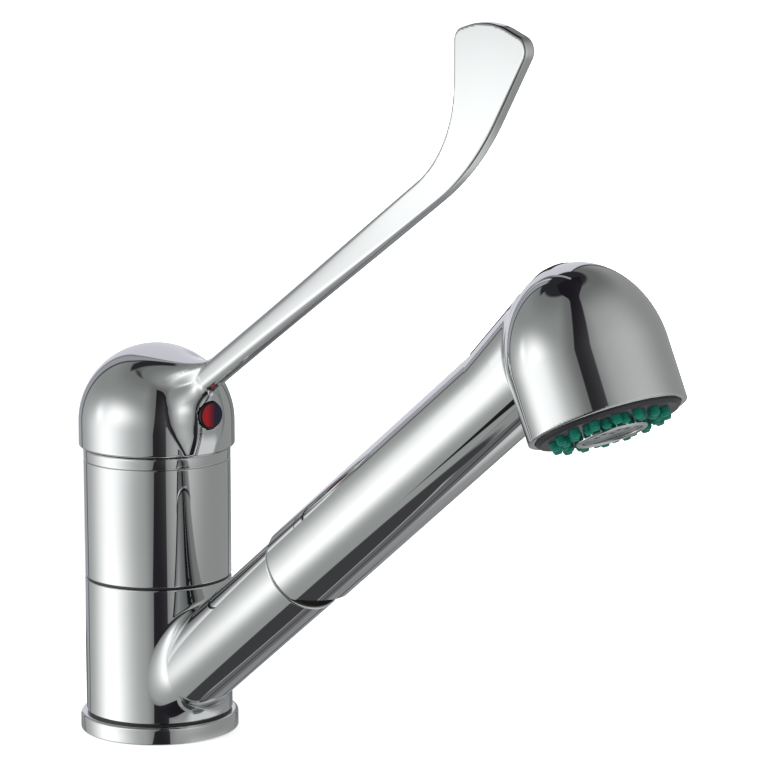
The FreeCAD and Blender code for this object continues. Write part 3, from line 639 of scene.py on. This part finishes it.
# The round pieces, by their corners: radius, height and the corner's round
dress(turned("foot", rounded([
    (FOOT_BORE_R, FOOT_LOW, 0), (20.3, FOOT_LOW, 0), (20.3, 1.4, 0), (24.2, 1.4, 0),
    (24.2, FOOT_LOW, 0.2), (FOOT_R, FOOT_LOW, 0.25), (FOOT_R, FOOT_TOP, 1.0),
    (FOOT_BORE_R, FOOT_TOP, 0.2)])), "root", "chrome", "base_ring")
dress(turned("housing", rounded([
    (HOUSING_BORE_R, HOUSING_LOW, 0), (BODY_R, HOUSING_LOW, 0.4), (BODY_R, HOUSING_TOP, 0.4),
    (HOUSING_BORE_R, HOUSING_TOP, 0)])), "root", "chrome", "upper_body")
dress(turned("bonnet", rounded([
    (HOUSING_BORE_R, HOUSING_TOP, 0), (BODY_R, HOUSING_TOP, 0.35), (BODY_R, BONNET_TOP, 0.9),
    (BONNET_HOLE_R, BONNET_TOP, 0.3), (BONNET_HOLE_R, BONNET_UNDER, 0),
    (HOUSING_BORE_R, BONNET_UNDER, 0)])), "root", "chrome", "bonnet_ring")

NOSE_PLACE = Matrix.Translation((0, 0, NOSE_Z * MM)) @ Matrix.Rotation(radians(90), 4, "Y")
dress(turned("indicator", rounded([
    (0.0, 27.3, 0), (4.2, 27.3, 0.2), (4.2, 29.75, 0.5), (2.4, 29.79, 1.5), (0.0, 29.8, 0)]),
    place=NOSE_PLACE),
    "lever", "indicator", "indicator_plug")

SLOTS = {part["node"]: part["material_slot"] for part in frame["record"]["subparts"]}
for node, obj in frame["nodes"].items():
    paint(obj, SLOTS[node])


# Studio: a tent of soft panels that only reflections see
TENT_R = 0.43
TENT_CENTRE = (0.0, 0.0, 0.099)
TENT_TURN = radians(-39.0)
TENT_DARK = (0.03, 0.03, 0.034)
PANELS = [
    # bearings from the camera's side in degrees, plus to its right; heights; edges; colour
    (4, 146, -90, 68, 2, 2, (0.19, 0.195, 0.195)),
    (4, 146, -90, 50, 2, 12, (0.36, 0.37, 0.365)),
    (-133, 2, -90, 68, 2, 2, (0.24, 0.252, 0.246)),
    (-133, 2, -90, 52, 2, 13, (0.34, 0.358, 0.35)),
    (-133, 2, -90, 16, 2, 15, (0.40, 0.42, 0.41)),
    (-8, 20, -66, 68, 10, 3, (0.20, 0.205, 0.20)),
    (-145, -98, 62, 95, 6, 1.5, (0.03, 0.03, 0.034)),
    (-190, -152, -22, 68, 3, 2, (0.80, 0.795, 0.87)),
    (150, 190, -22, 68, 2, 2, (0.80, 0.795, 0.87)),
    (150, 176, -22, 12, 2, 10, (0.24, 0.26, 0.26)),
    (-150, -137, -60, 68, 2, 3, (0.42, 0.43, 0.46)),
    (-190, -136, -64, -26, 3, 4, (0.30, 0.31, 0.32)),
    (140, 190, -64, -26, 3, 4, (0.30, 0.31, 0.32)),
    (-190, -137, -47, -43, 3, 1, (0.10, 0.10, 0.11)),
    (147, 190, -47, -43, 3, 1, (0.10, 0.10, 0.11)),
    (45, 120, -66, -34, 12, 8, (0.80, 0.82, 0.82)),
    (-190, 190, -95, -75, 1, 1, (0.065, 0.065, 0.07)),
    (60, 190, -79, -64, 4, 0.5, (0.17, 0.17, 0.175)),
    (60, 190, -79, -77.8, 4, 0.3, (0.50, 0.50, 0.51)),
    (60, 190, -71, -69.6, 4, 0.4, (0.05, 0.05, 0.055)),
]
# The black gap between the walls runs up to the ceiling and widens there. Its left side
# leans, so that it is wider below. Widths are shares of the tent's radius.
GAP_TURN = TENT_TURN + radians(9.5)
GAP_COLOUR = (0.016, 0.014, 0.018)
GAP_HALF, GAP_EDGE = 0.1475, 0.012
GAP_SHIFT, GAP_LEAN = 0.0175, 0.0011  # the lean is for each degree of height
GAP_WIDER, GAP_WIDENS = 0.15, (58.0, 74.0)
GAP_FOOT = (-66.5, -65.5)
GAP_SIDE = (-0.01, 0.01)              # keeps it to one side of the tent
GLOWS = [
    # bearing and height of the middle, widths, strength
    (-54.0, 14.0, 26.0, 14.0, 1.0),
    (-74.0, -8.0, 32.0, 20.0, 1.0),
    (-73.0, -33.0, 32.0, 15.0, 1.05),
    (-88.0, 8.0, 8.0, 9.0, 0.5),
    (48.0, 8.0, 24.0, 32.0, 0.36),
]
PLAIN_LIGHT = (0.62, 0.62, 0.62)
BACKDROP = (1.15, 1.15, 1.15)         # past white, so that noise doesn't show in it


def painted(tree, place):
    """The panels' colour in a direction, by its bearing and height."""
    calc = partial(maths, tree)
    unit = tree.nodes.new("ShaderNodeVectorMath")
    unit.operation = "NORMALIZE"
    tree.links.new(place, unit.inputs[0])
    split = tree.nodes.new("ShaderNodeSeparateXYZ")
    tree.links.new(unit.outputs[0], split.inputs[0])
    x, y, z = split.outputs

    def turned_by(angle):
        """How far the direction goes ahead and aside, seen from a turned frame."""
        ahead = calc("ADD", calc("MULTIPLY", x, cos(angle)), calc("MULTIPLY", y, sin(angle)))
        aside = calc("SUBTRACT", calc("MULTIPLY", y, cos(angle)), calc("MULTIPLY", x, sin(angle)))
        return ahead, aside

    ahead, right = turned_by(TENT_TURN)
    bearing = calc("MULTIPLY", calc("ARCTAN2", right, ahead), degrees(1))
    height = calc("MULTIPLY", calc("ARCSINE", z), degrees(1))
    colour = TENT_DARK
    for b0, b1, h0, h1, edge_b, edge_h, rgb in PANELS:
        share = calc("MULTIPLY", window(tree, bearing, b0, b1, edge_b),
                     window(tree, height, h0, h1, edge_h))
        colour = mix(tree, share, colour, rgb)

    forward, aside = turned_by(GAP_TURN)
    lean = calc("MULTIPLY", height, GAP_LEAN)
    aside = calc("ABSOLUTE", calc("SUBTRACT", calc("ADD", aside, GAP_SHIFT), lean))
    wider = calc("MULTIPLY", ramp(tree, height, *GAP_WIDENS), GAP_WIDER)
    past = calc("SUBTRACT", calc("ADD", aside, lean), wider)
    share = calc("SUBTRACT", 1.0, ramp(tree, past, GAP_HALF - GAP_EDGE, GAP_HALF + GAP_EDGE))
    share = calc("MULTIPLY", share, ramp(tree, forward, *GAP_SIDE))
    share = calc("MULTIPLY", share, ramp(tree, height, *GAP_FOOT))
    colour = mix(tree, share, colour, GAP_COLOUR)

    for b, h, wide, high, power in GLOWS:
        db = calc("DIVIDE", calc("SUBTRACT", bearing, b), wide)
        dh = calc("DIVIDE", calc("SUBTRACT", height, h), high)
        fall = calc("ADD", calc("MULTIPLY", db, db), calc("MULTIPLY", dh, dh))
        glow = calc("MULTIPLY", calc("EXPONENT", calc("MULTIPLY", fall, -1.0)), power)
        light = tree.nodes.new("ShaderNodeCombineColor")
        for socket in light.inputs[:3]:
            tree.links.new(glow, socket)
        colour = mix(tree, 1.0, colour, light.outputs[0], "ADD")
    return colour


def tent():
    """The panels round the mixer, clear from outside for a handset that is pulled out."""
    mesh = bpy.data.meshes.new("tent")
    bm = bmesh.new()
    bmesh.ops.create_icosphere(bm, subdivisions=5, radius=TENT_R)
    bm.to_mesh(mesh)
    bm.free()
    obj = put_in_scene("tent", mesh)
    obj.location = TENT_CENTRE
    mat = bpy.data.materials.new("tent")
    mat.use_nodes = True
    tree = mat.node_tree
    tree.nodes.clear()
    place = tree.nodes.new("ShaderNodeTexCoord")
    shader = tree.nodes.new("ShaderNodeEmission")
    tree.links.new(painted(tree, place.outputs["Object"]), shader.inputs["Color"])
    side = tree.nodes.new("ShaderNodeNewGeometry")
    clear = tree.nodes.new("ShaderNodeBsdfTransparent")
    both = tree.nodes.new("ShaderNodeMixShader")
    out = tree.nodes.new("ShaderNodeOutputMaterial")
    for value, socket in zip((side.outputs["Backfacing"], clear.outputs[0], shader.outputs[0]),
                             both.inputs):
        tree.links.new(value, socket)
    tree.links.new(both.outputs[0], out.inputs[0])
    mesh.materials.append(mat)
    obj.visible_camera = False
    obj.visible_diffuse = False
    obj.visible_shadow = False
    obj.visible_volume_scatter = False


def surroundings():
    """White to the camera, the panels again to reflections, plain light for the rest."""
    world = bpy.data.worlds.new("studio")
    world.use_nodes = True
    bpy.context.scene.world = world
    tree = world.node_tree
    path = tree.nodes.new("ShaderNodeLightPath")
    place = tree.nodes.new("ShaderNodeTexCoord")
    panels = painted(tree, place.outputs["Generated"])
    colour = mix(tree, path.outputs["Is Glossy Ray"], PLAIN_LIGHT, panels)
    colour = mix(tree, path.outputs["Is Camera Ray"], colour, BACKDROP)
    tree.links.new(colour, tree.nodes["Background"].inputs["Color"])


FLOOR_HALF = 3000.0
FLOOR_CORNERS = ((-1, -1), (1, -1), (1, 1), (-1, 1))
FLOOR_GLOW = 0.55
FAR_FROM, FAR_TO = 0.4, 0.8  # metres from the mixer


def floor():
    """A white floor that takes soft shadows near the mixer."""
    verts = [(x * FLOOR_HALF, y * FLOOR_HALF, 0) for x, y in FLOOR_CORNERS]
    obj = mesh_object("floor", verts, [(0, 1, 2, 3)])
    mat = bpy.data.materials.new("floor")
    mat.use_nodes = True
    tree = mat.node_tree
    shader = tree.nodes["Principled BSDF"]
    shader.inputs["Base Color"].default_value = (0.9, 0.9, 0.9, 1)
    shader.inputs["Roughness"].default_value = 0.9
    shader.inputs["Emission Color"].default_value = (1, 1, 1, 1)
    path = tree.nodes.new("ShaderNodeLightPath")
    place = tree.nodes.new("ShaderNodeTexCoord")
    span = tree.nodes.new("ShaderNodeVectorMath")
    span.operation = "LENGTH"
    tree.links.new(place.outputs["Object"], span.inputs[0])
    # plain white further off, where the lamps no longer reach
    glow = maths(tree, "ADD", ramp(tree, span.outputs["Value"], FAR_FROM, FAR_TO), FLOOR_GLOW)
    amount = maths(tree, "MULTIPLY", path.outputs["Is Camera Ray"], glow)
    tree.links.new(amount, shader.inputs["Emission Strength"])
    obj.data.materials.append(mat)
    obj.visible_glossy = False


LAMP_AIM = (0.09, 0, 0.1)


def lamp(name, place, size, power):
    """A square lamp turned to the mixer. Reflections don't show it."""
    data = bpy.data.lights.new(name, "AREA")
    data.shape = "SQUARE"
    data.size = size
    data.energy = power
    obj = put_in_scene(name, data)
    obj.location = place
    obj.rotation_euler = (Vector(LAMP_AIM) - Vector(place)).to_track_quat("-Z", "Y").to_euler()
    obj.visible_glossy = False


tent()
surroundings()
floor()
lamp("key", (0.2, -0.9, 1.3), 1.2, 9.0)
lamp("fill", (-0.9, 0.5, 0.9), 1.4, 4.0)

# The photo's own view, from the fit of its perspective
view = bpy.data.cameras.new("camera")
view.sensor_width = 36.0
view.lens = 150.84
camera = put_in_scene("camera", view)
camera.location = (0.82015, -0.57215, 0.2801)
camera.rotation_euler = (radians(80.35), 0, radians(50.99))
bpy.context.scene.camera = camera
bpy.context.scene.view_settings.view_transform = "Standard"
